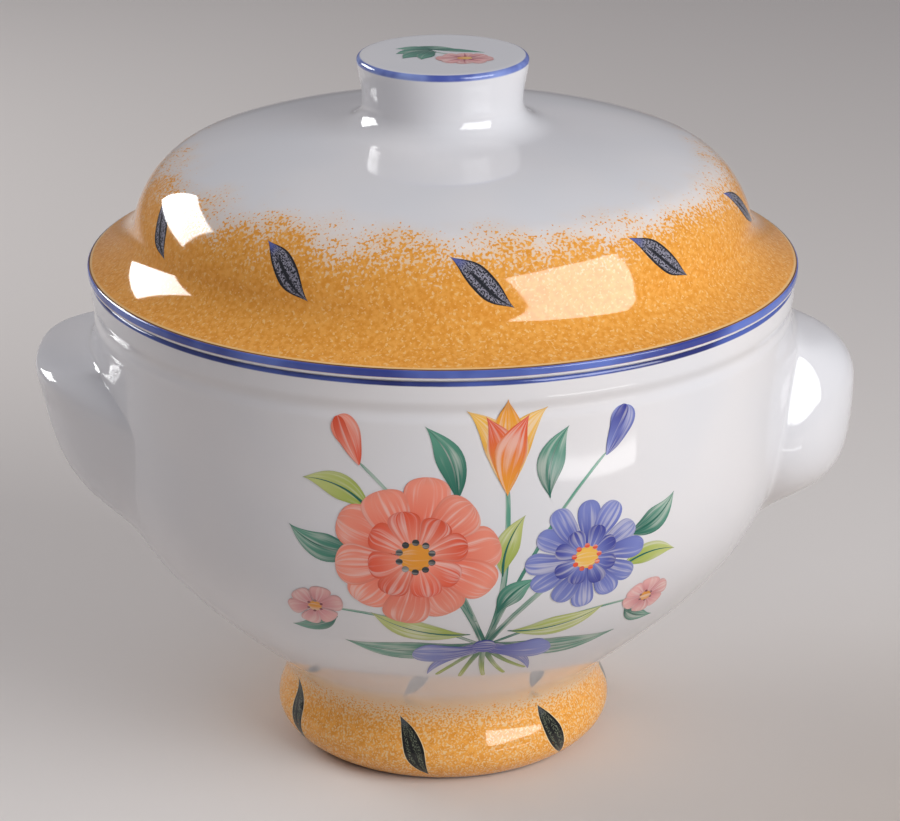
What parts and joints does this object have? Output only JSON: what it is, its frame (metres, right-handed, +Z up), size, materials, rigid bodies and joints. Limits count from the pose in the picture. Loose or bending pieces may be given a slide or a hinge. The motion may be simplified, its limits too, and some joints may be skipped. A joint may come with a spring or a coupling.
{
  "type": "covered vegetable dish",
  "caption": "Round covered dish in glazed earthenware: a deep bowl with lug handles on a bulged foot ring, and a domed lid with a locating ring and a flat-topped knob that lifts straight off.",
  "frame": {"origin": "the centre of the foot ring's standing face, on the table", "axes": "+Z up along the dish's axis, +X out through the right-hand handle, +Y to the back of the pictured view"},
  "size_m": [0.2704, 0.232, 0.2343],
  "materials": {
    "white_glaze": "clear glossy glaze over a white body",
    "ochre_glaze": "ochre orange sponged on under a clear glossy glaze"
  },
  "bodies": {
    "bowl": {"bowl_body": "white_glaze", "foot_ring": "ochre_glaze", "left_handle": "white_glaze", "right_handle": "white_glaze"},
    "lid": {"lid_dome": "ochre_glaze", "lid_locating_ring": "white_glaze", "lid_knob": "white_glaze"}
  },
  "joints": [
    {"name": "lid_lift", "type": "slide", "parent": "bowl", "child": "lid", "axis": [0, 0, 1], "range_m": [0, 0.12]}
  ]
}
